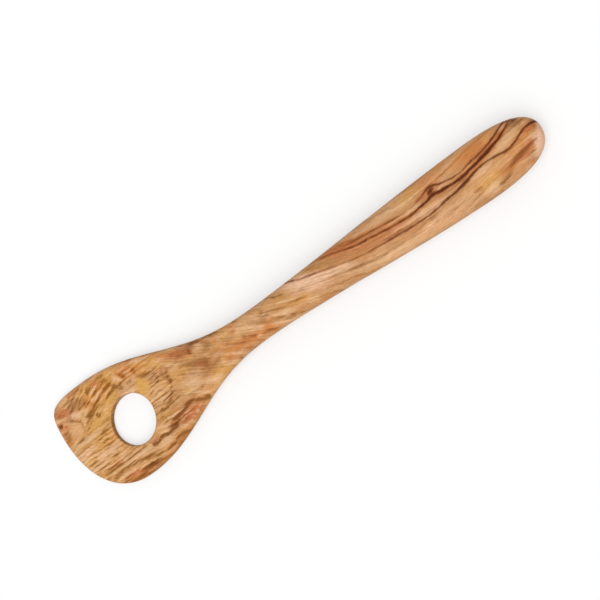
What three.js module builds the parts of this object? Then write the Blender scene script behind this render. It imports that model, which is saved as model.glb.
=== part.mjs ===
// Risotto spoon with a hole, carved from a single piece of olive wood.
//
// The spoon lies on its underside with +Z up. The head points to -X, the handle to +X, and the
// head's pointed corner is on the +Y side. Lengths are in millimetres.
//
// The skin is woven between columns. Seen from above, each column starts on the outline and runs
// inwards to its foot: on the rim of the hole in the head, on the spine in the handle. The same
// column gives a row of points over the top and a row along the underside.

import * as THREE from 'three';
import { mergeVertices } from 'three/addons/utils/BufferGeometryUtils.js';

const { lerp, smoothstep } = THREE.MathUtils;

// Outline. A station is a distance from the front edge, an offset a distance from the spoon's
// axis, positive towards the pointed corner.
const SPOON_LENGTH = 300;
const HEAD_WIDTH = 60;
const FRONT_OFFSET = 14; // foremost point of the front edge
const CORNER_SIDE_STATION = 24; // where the cornered side of the head is widest
const ROUND_SIDE_STATION = 35; // where the rounded side of the head is widest
const NECK_STATION = 128; // where the handle is narrowest
const NECK_WIDTH = 17;
const NECK_OFFSET = 0.2;
const GRIP_FROM_BUTT = 34; // where the handle is widest, measured from the butt
const GRIP_WIDTH = 29.2;
const GRIP_OFFSET = -0.9;

// A pull is the share of its span that a curve of the outline runs straight on from its end.
const CORNER_FRONT_PULL = 0.8;
const CORNER_SIDE_PULL = 0.93;
const CORNER_SHOULDER_PULL = 0.395;
const CORNER_NECK_PULL = 0.445;
const ROUND_FRONT_PULL = 0.55;
const ROUND_SIDE_PULL = 0.66;
const ROUND_SHOULDER_PULL = 0.37;
const ROUND_NECK_PULL = 0.47;
const HANDLE_NECK_PULL = 0.29;
const HANDLE_GRIP_PULL = 0.305;
const BUTT_SIDE_PULL = 0.78;
const BUTT_END_PULL = 0.56;

// Hole through the head.
const HOLE_DIAMETER = 26.5;
const HOLE_STATION = 42.4;
const HOLE_OFFSET = -2;
const RIM_ROUNDING = 1.1;

// Side view. The spoon rests on the flat underside of its head and on its grip, and is hollow
// under the neck.
const FRONT_THICKNESS = 2.8;
const HEAD_THICKNESS = 4.8; // at the middle of the hole
const NECK_THICKNESS = 11;
const GRIP_THICKNESS = 15;
const NECK_LIFT = 2; // height of the hollow
const BUTT_ROUNDING = 12; // length over which the butt closes to its tip

// Cross-sections. The head is a flat plate with rounded edges, which turns into an oval handle
// between the shoulder and the neck. A fullness of 2 is an ellipse, and more is squarer.
const SHOULDER_STATION = 70;
const EDGE_ROUNDING = 3.5;
const MOST_EDGE_SHARE = 0.5; // of the way from the outline to the hole that the rounding may take
const SECTION_FULLNESS = 2.4;

// Fineness of the mesh.
const HEAD_COLUMNS = 36; // on each side of the hole
const HANDLE_COLUMNS = 28; // on each side, between the hole and the grip
const BUTT_COLUMNS = 9; // on each side, round the butt
const RINGS = 7; // from the outline to the foot of a column
const EDGE_RINGS = 4; // of those, in the rounded edge of the head
const RIM_RINGS = 3; // in each rounding of the hole's rim

const QUARTER_TURN = Math.PI / 2;
const FULL_TURN = 2 * Math.PI;
const WELD_DISTANCE = 1e-4;

const gripStation = SPOON_LENGTH - GRIP_FROM_BUTT;
const holeCentre = new THREE.Vector2(HOLE_STATION, HOLE_OFFSET);
const holeRadius = HOLE_DIAMETER / 2;
const rimRadius = holeRadius + RIM_ROUNDING; // where the rim's rounding meets the flat face
const rimRear = new THREE.Vector2(HOLE_STATION + rimRadius, HOLE_OFFSET);

// Curve of the outline that leaves its start across the spoon and reaches its end along it.
function turnAlong(start, end, startPull, endPull) {
  const leaving = new THREE.Vector2(start.x, lerp(start.y, end.y, startPull));
  const arriving = new THREE.Vector2(lerp(end.x, start.x, endPull), end.y);
  return new THREE.CubicBezierCurve(start, leaving, arriving, end);
}

// Curve of the outline that runs along the spoon at both ends.
function swing(start, end, startPull, endPull) {
  const leaving = new THREE.Vector2(lerp(start.x, end.x, startPull), start.y);
  const arriving = new THREE.Vector2(lerp(end.x, start.x, endPull), end.y);
  return new THREE.CubicBezierCurve(start, leaving, arriving, end);
}

// Curve of the outline that leaves its start along the spoon and reaches its end across it.
function turnAcross(start, end, startPull, endPull) {
  const leaving = new THREE.Vector2(lerp(start.x, end.x, startPull), start.y);
  const arriving = new THREE.Vector2(end.x, lerp(end.y, start.y, endPull));
  return new THREE.CubicBezierCurve(start, leaving, arriving, end);
}

// One side of the outline, from the foremost point of the front edge to the tip of the butt.
function sideOutline(side) {
  const front = new THREE.Vector2(0, FRONT_OFFSET);
  const widest = new THREE.Vector2(side.widestStation, side.sign * HEAD_WIDTH / 2);
  const neck = new THREE.Vector2(NECK_STATION, NECK_OFFSET + side.sign * NECK_WIDTH / 2);
  const grip = new THREE.Vector2(gripStation, GRIP_OFFSET + side.sign * GRIP_WIDTH / 2);
  const butt = new THREE.Vector2(SPOON_LENGTH, 0);
  const outline = new THREE.CurvePath();
  outline.add(turnAlong(front, widest, side.frontPull, side.sidePull));
  outline.add(swing(widest, neck, side.shoulderPull, side.neckPull));
  outline.add(swing(neck, grip, HANDLE_NECK_PULL, HANDLE_GRIP_PULL));
  outline.add(turnAcross(grip, butt, BUTT_SIDE_PULL, BUTT_END_PULL));
  return outline;
}

const corneredSide = {
  sign: 1,
  widestStation: CORNER_SIDE_STATION,
  frontPull: CORNER_FRONT_PULL,
  sidePull: CORNER_SIDE_PULL,
  shoulderPull: CORNER_SHOULDER_PULL,
  neckPull: CORNER_NECK_PULL,
};
const roundedSide = {
  sign: -1,
  widestStation: ROUND_SIDE_STATION,
  frontPull: ROUND_FRONT_PULL,
  sidePull: ROUND_SIDE_PULL,
  shoulderPull: ROUND_SHOULDER_PULL,
  neckPull: ROUND_NECK_PULL,
};
for (const side of [corneredSide, roundedSide]) {
  side.outline = sideOutline(side);
}

// Share of a side's outline, from front to butt, at which it reaches a station. The station only
// grows along the outline, so halving the range finds it.
function shareAtStation(outline, station) {
  const halvings = 40;
  let low = 0;
  let high = 1;
  for (let step = 0; step < halvings; step += 1) {
    const middle = (low + high) / 2;
    if (outline.getPoint(middle).x < station) {
      low = middle;
    } else {
      high = middle;
    }
  }
  return (low + high) / 2;
}

// Point of a side's outline and its inward normal.
function edgeAtShare(side, share) {
  const tangent = side.outline.getTangent(share);
  const inward = new THREE.Vector2(tangent.y, -tangent.x).multiplyScalar(side.sign);
  return { edge: side.outline.getPoint(share), inward };
}

function edgeAtStation(side, station) {
  return edgeAtShare(side, shareAtStation(side.outline, station));
}

// Stations of the handle's columns: even from the hole to the grip, then closer round the butt.
function handleStations() {
  const stations = [];
  for (let column = 0; column < HANDLE_COLUMNS; column += 1) {
    stations.push(lerp(rimRear.x, gripStation, column / HANDLE_COLUMNS));
  }
  for (let column = 0; column < BUTT_COLUMNS; column += 1) {
    const turn = QUARTER_TURN * column / BUTT_COLUMNS;
    stations.push(lerp(gripStation, SPOON_LENGTH, Math.sin(turn)));
  }
  return stations;
}

// Direction of a point of the outline seen from the hole's centre, counted from the handle's
// direction round through the cornered side.
function bearing(point) {
  const angle = Math.atan2(point.y - HOLE_OFFSET, point.x - HOLE_STATION);
  return angle < 0 ? angle + FULL_TURN : angle;
}

const firstBearing = bearing(edgeAtStation(corneredSide, rimRear.x).edge);
const lastBearing = bearing(edgeAtStation(roundedSide, rimRear.x).edge);

// Depth of a foot under an edge, square to the outline.
function depthUnder({ edge, inward }, foot) {
  return foot.clone().sub(edge).dot(inward);
}

// Column of the head. The feet go once round the rim while the outline goes from the rear of the
// hole on one side, round the front, to the rear of the hole on the other side.
function headColumn(side, share) {
  const { edge, inward } = edgeAtShare(side, share);
  const angle = FULL_TURN * (bearing(edge) - firstBearing) / (lastBearing - firstBearing);
  const spoke = new THREE.Vector2(Math.cos(angle), Math.sin(angle));
  const foot = spoke.clone().multiplyScalar(rimRadius).add(holeCentre);
  return { edge, foot, depth: depthUnder({ edge, inward }, foot), spoke };
}

// Pair of columns of the handle, one on each side, which share a foot on the spine halfway
// between them. The first pair meets at the rear of the hole's rim.
function handlePair(station) {
  const edges = [corneredSide, roundedSide].map((side) => edgeAtStation(side, station));
  const atRim = station === rimRear.x;
  const foot = atRim ? rimRear : edges[0].edge.clone().lerp(edges[1].edge, 0.5);
  const depth = (depthUnder(edges[0], foot) + depthUnder(edges[1], foot)) / 2;
  const spoke = atRim ? new THREE.Vector2(1, 0) : null;
  return edges.map(({ edge }) => ({ edge, foot, depth, spoke }));
}

// All columns, once round the outline: from the butt along the cornered side to the front, and
// back along the rounded side.
function outlineColumns() {
  const butt = new THREE.Vector2(SPOON_LENGTH, 0);
  const buttColumn = { edge: butt, foot: butt, depth: 0, spoke: null };
  const pairs = handleStations().map(handlePair);
  const headColumns = [corneredSide, roundedSide].map((side) => {
    const rearShare = shareAtStation(side.outline, rimRear.x);
    const steps = [...Array(HEAD_COLUMNS).keys()];
    return steps.map((step) => headColumn(side, rearShare * step / HEAD_COLUMNS));
  });
  const cornered = [...headColumns[0], ...pairs.map((pair) => pair[0]), buttColumn];
  const rounded = [...headColumns[1], ...pairs.map((pair) => pair[1]), buttColumn];
  return [...cornered.reverse(), ...rounded.slice(1)];
}

// Rise of a rounded edge from its foremost point, 0, to its full height, 1.
function rounded(share) {
  const rest = 1 - Math.min(share, 1);
  return (1 - rest ** SECTION_FULLNESS) ** (1 / SECTION_FULLNESS);
}

// Thickness along the spoon, before the butt is rounded.
const thicknessCurve = new THREE.CubicInterpolant(
  [0, HOLE_STATION, NECK_STATION, gripStation, SPOON_LENGTH],
  [FRONT_THICKNESS, HEAD_THICKNESS, NECK_THICKNESS, GRIP_THICKNESS, GRIP_THICKNESS],
  1,
);

// Height of the middle of the section and half its thickness.
function sectionAt(station) {
  const rise = smoothstep(station, SHOULDER_STATION, NECK_STATION);
  const fall = smoothstep(station, NECK_STATION, gripStation);
  const half = thicknessCurve.evaluate(station)[0] / 2;
  const closing = rounded((SPOON_LENGTH - station) / BUTT_ROUNDING);
  return { middle: NECK_LIFT * (rise - fall) + half, half: half * closing };
}

// Share of the way from edge to foot at which a column crosses a ring. In the plate of the head
// the first rings follow the rounded edge, and in the oval of the handle they cover all of it.
function ringShare(ring, edgeShare, roundness) {
  const ovalShare = 1 - Math.cos(QUARTER_TURN * ring / RINGS);
  let plateShare = edgeShare * (1 - Math.cos(QUARTER_TURN * ring / EDGE_RINGS));
  if (ring > EDGE_RINGS) {
    plateShare = lerp(edgeShare, 1, (ring - EDGE_RINGS) / (RINGS - EDGE_RINGS));
  }
  return lerp(plateShare, ovalShare, roundness);
}

// Rows of a column: the shell runs from the foot over the top to the edge and back along the
// underside, and the wall runs from the same foot down through the hole.
function columnRows({ edge, foot, depth, spoke }) {
  const roundness = smoothstep(edge.x, SHOULDER_STATION, NECK_STATION);
  const edgeShare = Math.min(EDGE_ROUNDING / depth, MOST_EDGE_SHARE);
  const roundedShare = lerp(edgeShare, 1, roundness);
  const top = [];
  const underside = [];
  for (let ring = 0; ring <= RINGS; ring += 1) {
    const share = ringShare(ring, edgeShare, roundness);
    const plan = edge.clone().lerp(foot, share);
    const { middle, half } = sectionAt(plan.x);
    const lift = half * rounded(share / roundedShare);
    top.push(new THREE.Vector3(plan.x, plan.y, middle + lift));
    underside.push(new THREE.Vector3(plan.x, plan.y, middle - lift));
  }
  const shell = [...top.reverse(), ...underside.slice(1)];
  return { shell, wall: spoke && holeWall(spoke, shell[0].z, shell.at(-1).z) };
}

// Row of points down the wall of the hole, with the rim rounded at the top and at the underside.
function holeWall(spoke, topHeight, undersideHeight) {
  const upper = [];
  const lower = [];
  for (let ring = 0; ring <= RIM_RINGS; ring += 1) {
    const turn = QUARTER_TURN * ring / RIM_RINGS;
    const plan = spoke.clone().multiplyScalar(rimRadius - RIM_ROUNDING * Math.sin(turn));
    const drop = RIM_ROUNDING * (1 - Math.cos(turn));
    plan.add(holeCentre);
    upper.push(new THREE.Vector3(plan.x, plan.y, topHeight - drop));
    lower.push(new THREE.Vector3(plan.x, plan.y, undersideHeight + drop));
  }
  return [...upper, ...lower.reverse()];
}

// Two triangles for each cell between neighbouring rows. A triangle whose corners meet, as at the
// tip of the butt, is left out.
function weave(positions, row, nextRow) {
  for (let step = 0; step + 1 < row.length; step += 1) {
    const [a, b, c, d] = [row[step], row[step + 1], nextRow[step + 1], nextRow[step]];
    for (const corners of [[a, b, c], [a, c, d]]) {
      const [p, q, r] = corners;
      const meets = [[p, q], [q, r], [r, p]].some(([u, v]) => u.distanceTo(v) < WELD_DISTANCE);
      if (!meets) {
        positions.push(...corners.flatMap((corner) => corner.toArray()));
      }
    }
  }
}

// Skin of the spoon, woven between neighbouring columns.
function spoonGeometry() {
  const rows = outlineColumns().map(columnRows);
  const positions = [];
  for (let column = 0; column + 1 < rows.length; column += 1) {
    const here = rows[column];
    const next = rows[column + 1];
    weave(positions, here.shell, next.shell);
    if (here.wall && next.wall) {
      weave(positions, next.wall, here.wall);
    }
  }
  const soup = new THREE.BufferGeometry();
  soup.setAttribute('position', new THREE.Float32BufferAttribute(positions, 3));
  const geometry = mergeVertices(soup, WELD_DISTANCE);
  geometry.computeVertexNormals();
  return geometry;
}

const oliveWood = new THREE.MeshStandardMaterial({
  color: 0xc79262,
  roughness: 0.5,
  metalness: 0,
});

const spoonBody = new THREE.Mesh(spoonGeometry(), oliveWood);
spoonBody.name = 'spoon_body';
spoonBody.position.x = -SPOON_LENGTH / 2;

const spoon = new THREE.Group();
spoon.add(spoonBody);

export default spoon;
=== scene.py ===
"""Olive wood risotto spoon: the carved body gets its grain, and a pale studio floor is set under it."""

import math

import bmesh
import bpy
from bpy.props import FloatProperty, FloatVectorProperty, IntProperty, PointerProperty
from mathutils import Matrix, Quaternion, Vector, noise


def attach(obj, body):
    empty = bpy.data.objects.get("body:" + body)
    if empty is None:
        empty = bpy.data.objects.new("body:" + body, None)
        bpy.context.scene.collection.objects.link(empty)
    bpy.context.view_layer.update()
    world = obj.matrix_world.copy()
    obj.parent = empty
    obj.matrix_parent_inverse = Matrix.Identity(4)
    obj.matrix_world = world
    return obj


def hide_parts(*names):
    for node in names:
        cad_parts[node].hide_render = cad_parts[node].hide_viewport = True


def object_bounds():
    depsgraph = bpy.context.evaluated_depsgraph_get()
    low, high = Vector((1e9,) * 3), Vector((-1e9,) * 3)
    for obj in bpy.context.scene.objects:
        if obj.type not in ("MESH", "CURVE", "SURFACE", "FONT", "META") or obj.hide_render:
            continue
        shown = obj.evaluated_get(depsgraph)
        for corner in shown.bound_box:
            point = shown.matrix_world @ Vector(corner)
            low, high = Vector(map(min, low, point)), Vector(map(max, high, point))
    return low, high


bl_info = {
    "name": "Olive Wood Risotto Spoon",
    "version": (1, 0, 0),
    "blender": (4, 5, 0),
    "location": "3D View > Sidebar > Spoon",
    "description": "Dresses a carved risotto spoon in olive wood and sets it on a studio floor",
    "category": "Object",
}

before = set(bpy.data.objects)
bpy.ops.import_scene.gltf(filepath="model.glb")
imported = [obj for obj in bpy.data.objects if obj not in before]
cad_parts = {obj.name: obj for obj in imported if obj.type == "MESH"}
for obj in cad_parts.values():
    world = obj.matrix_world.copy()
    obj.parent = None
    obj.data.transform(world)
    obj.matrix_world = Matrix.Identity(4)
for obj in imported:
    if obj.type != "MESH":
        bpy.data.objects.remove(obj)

CAD_NODE = "spoon_body"
CAD_BODY = "root"
PIECE_NAME = "olive_spoon"

CAD_LOW, CAD_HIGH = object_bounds()
MILLIMETRES_PER_METRE = 1000.0
SPOON_LENGTH = (CAD_HIGH.x - CAD_LOW.x) * MILLIMETRES_PER_METRE
GRIP_TOP = CAD_HIGH.z * MILLIMETRES_PER_METRE

# The wood is drawn in plan, in millimetres: a station is the distance from the front edge, and an
# offset the distance to the left of the spoon's middle line.

# Sweep of the grain from the left of the head to the butt, as rows of station and offset.
GRAIN_SWEEP = (
    (80, 42),
    (100, 32),
    (120, 22),
    (140, 13.2),
    (156, 7.6),
    (170, 3.3),
    (185, -0.6),
    (200, -3.6),
    (215, -4.9),
    (230, -5.8),
    (245, -4.9),
    (260, -2.7),
    (275, -0.9),
    (300, 2),
)

# Long veins, as rows of station, offset and half width. A thin vein is also a faint one.
MAIN_VEIN = (
    (176, 8, 0.3),
    (180, 7, 0.35),
    (185, 5.6, 0.36),
    (190, 4.2, 0.4),
    (195, 2.8, 0.5),
    (200, 2, 0.52),
    (205, 1.4, 0.54),
    (210, 0.7, 0.5),
    (216, -0.1, 0.48),
    (222, -0.6, 0.5),
    (228, -0.8, 0.58),
    (233, -0.2, 0.65),
    (238, 0.3, 0.85),
    (241.7, 1.1, 1.2),
    (245, 0.4, 1),
    (250, 0, 0.75),
    (256, -0.2, 0.85),
    (260, 0.1, 0.95),
    (263, 0.8, 1),
    (267, 1.3, 1),
    (271, 2.1, 1.1),
    (276, 3.2, 1.1),
    (280, 4.4, 1),
    (284, 5.9, 0.85),
    (287, 7.5, 0.6),
    (290, 9.6, 0.5),
)
TWIN_VEIN = (
    (187, 7.2, 0),
    (193, 5.4, 0.35),
    (200, 4.5, 0.45),
    (206, 3.9, 0.4),
    (212, 3.1, 0.4),
    (219, 2.4, 0.4),
    (225, 1.7, 0.25),
    (229, 1.9, 0.1),
    (233, 3, 0.35),
    (237, 3.8, 0.45),
    (241.5, 5.2, 0.65),
    (246, 3.8, 0.55),
    (250, 2.8, 0.45),
    (256, 2.3, 0.4),
    (260, 2.6, 0.4),
    (264, 3.4, 0.45),
    (270, 4.2, 0.5),
    (275, 5.2, 0.55),
    (280, 7, 0.6),
    (284, 9, 0.7),
    (287, 10.8, 0.7),
)
LOWER_VEIN = (
    (153, 8.6, 0.3),
    (158, 7, 0.42),
    (163, 5, 0.42),
    (168, 3.8, 0.42),
    (175, 2, 0.38),
    (182, 0.2, 0.34),
    (190, -1.8, 0.33),
    (197, -3.1, 0.34),
    (205, -4.1, 0.38),
    (213, -4.7, 0.46),
    (222, -5.5, 0.46),
    (231, -5.9, 0.46),
    (239, -5.6, 0.5),
    (245, -4.8, 0.66),
    (252, -4.1, 0.88),
    (258, -3, 1),
    (263, -2, 0.85),
    (267, -1.1, 0.7),
    (273, -0.9, 0.5),
    (278, -1.5, 0.5),
    (283, -2, 0.6),
    (287, -1.2, 0.6),
    (291, 0.4, 0.6),
    (295, 2.2, 0.66),
    (299, 3, 0.8),
)

# Veins in the order of painting: rows, strength of the stained wood beside it, strength of its core.
VEINS = (
    (TWIN_VEIN, 0.45, 0.92),
    (LOWER_VEIN, 0.4, 0.93),
    (MAIN_VEIN, 0.65, 0.97),
)

# Strokes: colour, station and offset of both ends, bow to the left, width, strength.
STROKES = (
    # Eye in the front left corner
    ("umber", 8.6, 16.2, 14.4, 12.6, 0.7, 0.9, 0.75),
    ("umber", 14.6, 13, 14, 7.4, 0.5, 1, 0.75),
    ("pale", 15.5, 17.5, 16.8, 9.5, 0.3, 2, 0.4),
    ("pale", 5, 5.6, 12.5, 6.8, 0.2, 1.2, 0.6),
    ("umber", 4.5, 4, 13, 5, 0, 1, 0.6),
    ("vein", 1.2, 16.6, 4.2, 17.2, 0, 1.2, 0.8),
    ("rust", 4.5, 21.6, 10.5, 20.2, 0.3, 1.6, 0.55),
    ("umber", 9.5, 20.2, 20, 19, 0.4, 1.8, 0.5),
    ("umber", 13, 22.6, 22, 21.8, 0.2, 1.6, 0.4),
    ("pale", 10.5, 18.2, 17, 17, 0, 1.8, 0.4),
    # Golden strokes of the corner
    ("umber", 16.8, 9.4, 31, 17.6, 0.5, 2.4, 1.15),
    ("umber", 24.2, 10, 27.4, 10.9, 0, 1.8, 1.2),
    ("umber", 19, 8.9, 24.5, 9.4, 0, 1.2, 0.5),
    ("umber", 20, 18, 26, 19, 0, 1.8, 1.1),
    ("umber", 25, 23.4, 30, 24.4, 0, 2, 1.05),
    ("umber", 27, 20, 34.6, 22, 0, 1.6, 1.05),
    ("umber", 29, 16.6, 41, 20.2, 0.3, 1.9, 1.05),
    ("umber", 26, 13.4, 42, 16.4, 0.4, 1.7, 1),
    ("umber", 34, 22, 41, 22.6, 0.6, 1.4, 0.7),
    ("pale", 25.5, 18.1, 34, 20.2, 0, 1.4, 1.25),
    ("pale", 26, 21.3, 33, 23.3, 0, 1.2, 1.25),
    ("pale", 30, 15.4, 41, 18.2, 0.2, 1.2, 1.1),
    ("pale", 18, 13.8, 26, 17.8, 0.3, 2, 0.9),
    ("pale", 21.8, 9.8, 24.2, 10.9, 0, 0.9, 0.5),
    ("umber", 38.5, 20.8, 43.4, 15.8, 0.6, 1.7, 0.8),
    ("pale", 43, 23, 47.5, 17, 0.8, 2, 0.8),
    ("umber", 44.3, 13.4, 46.6, 17, 0, 1.7, 0.8),
    ("umber", 49, 14.6, 53, 15.4, 0, 1.6, 0.8),
    ("umber", 46, 22.8, 50.6, 18.4, -0.3, 1.7, 0.9),
    # Bars at the front
    ("umber", 7.5, 0.6, 14, 0, 0, 1.3, 0.5),
    ("umber", 14.5, 1.2, 29, 2.4, -0.3, 1.2, 0.35),
    ("umber", 20.5, 2.6, 29, 3.8, 0, 1.6, 0.15),
    ("umber", 14.8, -1.2, 22.5, -0.6, 0, 0.8, 0.65),
    ("umber", 14, -3.8, 25, -2.6, 0, 0.9, 0.5),
    ("umber", 6.5, -3.9, 12.5, -4, 0, 1.4, 0.5),
    ("umber", 13, -6.3, 26.5, -5, 0, 1, 0.4),
    ("umber", 7.5, -7.2, 13.5, -7.4, 0, 1.6, 0.5),
    ("umber", 8.5, -10.9, 23, -9.7, 0, 1, 0.55),
    ("umber", 8.5, -13.9, 27, -11.9, 0.2, 1.1, 0.6),
    ("umber", 11, -17.6, 26, -16.9, 0.3, 2.2, 1),
    ("umber", 25, -16.9, 44, -16.8, -0.3, 1.1, 0.6),
    ("pale", 5, 2.7, 11, 2.9, 0, 1.4, 0.7),
    ("pale", 14.5, 0.2, 21.5, 0.6, 0, 0.8, 0.6),
    ("pale", 14.5, -2.6, 24.5, -1.6, 0, 1.1, 0.6),
    ("pale", 5.5, -1.9, 12, -2.2, 0, 1.6, 0.3),
    ("pale", 5, -5.6, 11, -5.5, 0, 1.1, 0.4),
    ("pale", 12.5, -8.7, 24, -7.9, 0, 1.5, 0.65),
    ("pale", 9, -12.3, 25, -10.9, 0, 1.2, 0.55),
    ("pale", 10, -15.5, 27, -14.6, 0, 1.4, 0.75),
    # Right edge of the head
    ("pale", 13.5, -19.6, 30, -18.6, 0.2, 1.6, 0.7),
    ("pale", 28, -18.6, 44, -19.3, 0.2, 1.4, 1),
    ("umber", 14.5, -22, 27, -20.6, 0.3, 1.6, 1),
    ("umber", 26, -20.5, 39, -21.4, 0.2, 1.4, 1.25),
    ("umber", 36.5, -21.6, 50, -25.2, 0.3, 2, 0.9),
    ("pale", 17.5, -23.6, 32, -23.6, 0.3, 1.4, 0.8),
    ("pale", 30, -24.4, 44, -25.4, 0, 0.9, 0.4),
    ("rust", 21.5, -24.6, 35, -26.4, 0.3, 1.3, 0.85),
    ("umber", 33, -26.4, 46, -27, 0.3, 1.8, 1.3),
    ("rust", 27, -27.3, 39, -28.6, 0, 1.2, 0.8),
    ("umber", 17, -23.8, 48, -29.2, -2.6, 1.3, 0.9),
    # Round the hole and on towards the neck
    ("vein", 44.8, -17.4, 51.2, -18.6, -1, 1.8, 1),
    ("vein", 50, -18.8, 57, -18.9, 0.9, 1.5, 1),
    ("vein", 55.5, -18.9, 64.5, -17, -0.3, 1.5, 0.65),
    ("umber", 57.5, -12.9, 60.5, -12.3, 0, 1.1, 0.6),
    ("vein", 61, -14.6, 73, -13, -0.3, 1.3, 0.65),
    ("vein", 71.5, -13.2, 79.5, -12, 0.5, 1.3, 0.6),
    ("umber", 78.5, -12, 88.5, -15.8, -0.4, 1.8, 1.1),
    ("pale", 60, -13.5, 72, -12, 0, 0.8, 0.5),
    ("rust", 69, -17.2, 80, -15.4, 0.2, 1.4, 0.8),
    ("umber", 57, -16.6, 67, -17.4, 0, 1.8, 0.55),
    ("pale", 66, -20.8, 74, -20.2, 0, 1, 0.4),
    ("pale", 76, -17.6, 82.5, -15.4, 0, 1, 0.5),
    ("umber", 74.5, -19.3, 79.5, -18.3, 0, 1, 0.6),
    ("pale", 45.5, -20.9, 59, -21.6, 0.3, 1.8, 0.5),
    ("umber", 51.5, -24, 59.5, -23, -0.9, 1.3, 1),
    ("umber", 58, -23.2, 68, -23.3, 0.8, 1.3, 1),
    ("umber", 61.5, -1.5, 70, -0.9, 0, 0.8, 0.45),
    ("umber", 61, -4.6, 70, -3, 0, 0.8, 0.45),
    ("pale", 62, -3.2, 69, -2.2, 0, 0.9, 0.4),
    ("umber", 62.5, -6.6, 75, -5.8, 0, 1, 0.5),
    ("umber", 61, -9.4, 76, -8.6, 0, 1, 0.5),
    ("pale", 76.5, -7.2, 88.5, -8.6, 0.2, 1.1, 0.6),
    ("umber", 77.5, -8.2, 89, -9.9, 0, 0.9, 0.5),
    ("pale", 79.5, -11.8, 91, -13.2, 0.2, 1.4, 0.5),
    ("umber", 56, 15.2, 66.5, 10.6, 0.3, 1.8, 0.45),
    ("umber", 55.2, 20.4, 57, 16, 0, 1.1, 0.65),
    ("pale", 60.3, 16.5, 66, 12.2, 0.5, 1.4, 0.6),
    ("umber", 64.5, 11.8, 67.5, 9.9, 0, 0.8, 0.5),
    ("umber", 56.8, 2, 64.5, 5, 0.3, 1.3, 0.6),
    ("umber", 63.5, 5, 67.5, 9.2, -0.4, 1.3, 0.5),
    ("umber", 73, 11, 70.6, -1, 0.9, 1.8, 0.75),
    ("umber", 70.8, 0, 66.5, -5, 0.5, 1.4, 0.6),
    ("umber", 76.5, 8.8, 82.5, 7.8, 0, 1.2, 0.5),
    ("umber", 77, 6, 82, 4.2, -0.3, 1, 0.5),
    ("umber", 79.6, 2.1, 82.4, 0.8, 0, 1.2, 0.55),
    # Neck
    ("umber", 89.5, 10.6, 90.6, 7.4, 0, 1.8, 0.55),
    ("umber", 88, 13.4, 110, 9.2, -0.6, 1.2, 0.8),
    ("umber", 110, 0, 120.5, -4.4, -0.2, 1.4, 0.55),
    ("umber", 124, -3.2, 129, -5, 0, 1.4, 0.45),
    ("rust", 126.3, -7.3, 129.2, -7, 0, 1.6, 0.8),
    ("pale", 127, -5.6, 130, -5.9, 0, 1.2, 0.5),
    ("umber", 130, -5.2, 139.5, -7.4, -0.3, 1.3, 0.65),
    ("pale", 130.4, -3.6, 134, -3.2, 0, 1, 0.5),
    ("umber", 134.2, 6.6, 139.8, 0.8, -0.4, 1.1, 0.4),
    ("umber", 139, 1.2, 151, -1.8, -0.2, 1.3, 0.55),
    ("umber", 150, -1.6, 162, -3.4, -0.3, 1.3, 0.5),
    ("umber", 142.5, 6.3, 153, 2, -0.3, 1.2, 0.45),
    ("umber", 152, 2.2, 168, -0.8, 0.2, 2, 0.3),
    ("umber", 166, -0.4, 183, -4.8, 0, 1.2, 0.4),
    ("umber", 138.5, -1, 146, -5.4, -0.3, 1, 0.4),
    ("pale", 144.5, 1.8, 156, -1, -0.2, 1.4, 0.65),
    ("pale", 141, -1.5, 148, -4.5, 0, 1.2, 0.5),
    ("umber", 145, -7.3, 151.5, -7.2, 0, 1.2, 0.6),
    ("pale", 158.5, -5.6, 168, -7.6, 0, 2, 0.55),
    ("umber", 154, -6.6, 163, -8.6, 0.8, 1, 0.4),
    # Grip and butt
    ("umber", 183, -4.8, 200, -7.8, -0.2, 1, 0.5),
    ("umber", 198, -7.6, 226, -8.2, -0.7, 1, 0.6),
    ("umber", 224, -8.2, 240, -7.6, 0, 1, 0.6),
    ("pale", 228, -9.5, 235, -9.5, 0, 1.2, 0.5),
    ("rust", 206, -1.6, 225, -2.2, 0, 2, 0.4),
    ("pale", 212, 1.6, 232, 0.4, 0, 0.9, 0.5),
    ("pale", 244, 2.3, 252, 1.2, -0.2, 1, 0.45),
    ("pale", 260, 1.4, 265, 2.4, 0, 0.9, 0.5),
    ("umber", 258.5, -9.4, 264, -9.2, 0, 1.6, 0.55),
    ("umber", 236, -10.6, 256, -10, 0, 0.9, 0.45),
    ("umber", 243, -1.8, 263, -0.6, -0.4, 0.8, 0.5),
    ("umber", 206, -2.8, 232, -3.4, -0.4, 0.8, 0.4),
    ("umber", 270.5, -13.2, 281, -10.2, 0, 1.2, 1),
    ("umber", 278, -10.2, 298, -4.2, 0.3, 1.7, 0.8),
    ("umber", 286, -10.6, 293.5, -8.6, 0, 1, 0.5),
    ("rust", 291.5, 0.8, 298.5, 1.8, 0.3, 2.2, 0.7),
)

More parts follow.
